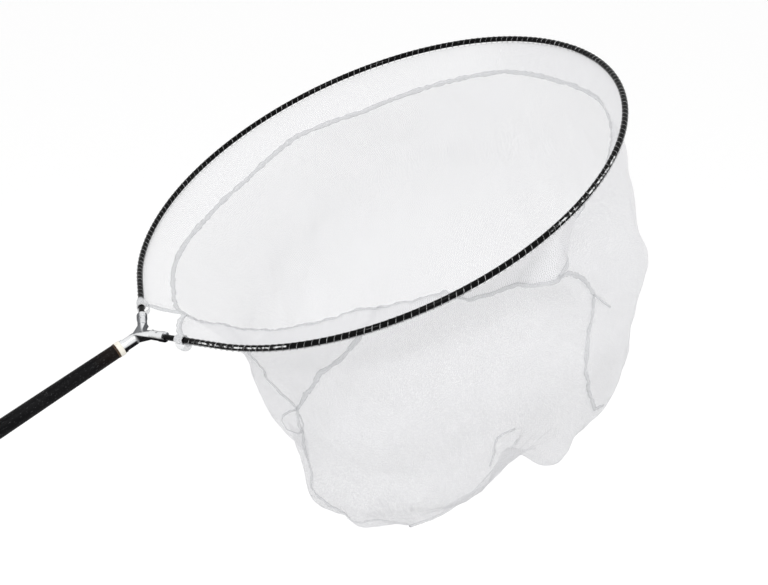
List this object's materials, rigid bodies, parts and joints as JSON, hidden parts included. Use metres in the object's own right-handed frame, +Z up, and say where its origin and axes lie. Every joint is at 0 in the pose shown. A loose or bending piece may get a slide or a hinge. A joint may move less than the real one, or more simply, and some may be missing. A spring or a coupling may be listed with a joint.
{
  "type": "landing net",
  "caption": "Fine-mesh landing net on a round hoop with an alloy spreader block, a screw-in head and a telescopic twist-lock handle.",
  "frame": {"origin": "middle of the grip, on the handle's axis", "axes": "+Z up, +X the level direction that the handle points in, +Y across the hoop; the handle is pitched up by 24.5 degrees, as the net is held"},
  "size_m": [1.4475, 0.5576, 0.6486],
  "materials": {
    "black_rubber": null,
    "grip_foam": null,
    "ring_metal": null,
    "charcoal_tube": null,
    "collar_plastic": null,
    "sleeve_nylon": null,
    "steel": null,
    "brown_brass": null,
    "washer_nylon": null,
    "brass": null,
    "cast_alloy": null,
    "black_rod": null,
    "white_thread": null,
    "net_seam": null,
    "netting": null
  },
  "bodies": {
    "lower_handle": {"butt_cap": "black_rubber", "grip": "grip_foam", "grip_ring": "ring_metal", "lower_tube": "charcoal_tube", "mouth_collar": "collar_plastic"},
    "lock_expander": {"expander_sleeve": "sleeve_nylon"},
    "upper_handle": {"lock_core": "steel", "upper_plug": "collar_plastic", "upper_tube": "charcoal_tube", "ferrule": "brown_brass"},
    "screw_washer": {"washer": "washer_nylon"},
    "net_head": {"screw_stud": "brass", "spreader_block": "cast_alloy", "rod_pins": "steel", "hoop_rod": "black_rod", "lashing": "white_thread", "end_tie_left": "white_thread", "end_tie_right": "white_thread", "gap_hem": "net_seam", "net_band": "netting", "band_seam": "net_seam", "bag_front": "netting", "bag_back": "netting", "bag_gusset": "netting", "panel_seam": "net_seam", "gusset_seam": "net_seam", "bottom_seam": "net_seam"}
  },
  "joints": [
    {"name": "handle_extend", "type": "slide", "parent": "lower_handle", "child": "lock_expander", "axis": [0.91, 0, 0.4147], "range_m": [-0.26, 0.16]},
    {"name": "handle_twist", "type": "hinge", "parent": "lock_expander", "child": "upper_handle", "pos_m": [0.22749, 0, 0.10367], "axis": [0.91, 0, 0.4147], "range_deg": [0, 120]},
    {"name": "head_advance", "type": "slide", "parent": "upper_handle", "child": "screw_washer", "axis": [0.91, 0, 0.4147], "range_m": [0, 0.0115]},
    {"name": "head_unscrew", "type": "hinge", "parent": "screw_washer", "child": "net_head", "pos_m": [0.74435, 0, 0.33922], "axis": [0.91, 0, 0.4147], "range_deg": [0, 3240]}
  ],
  "couplings": [
    {"joint": "head_advance", "follows": "head_unscrew", "m_per_rad": 0.00020213}
  ]
}
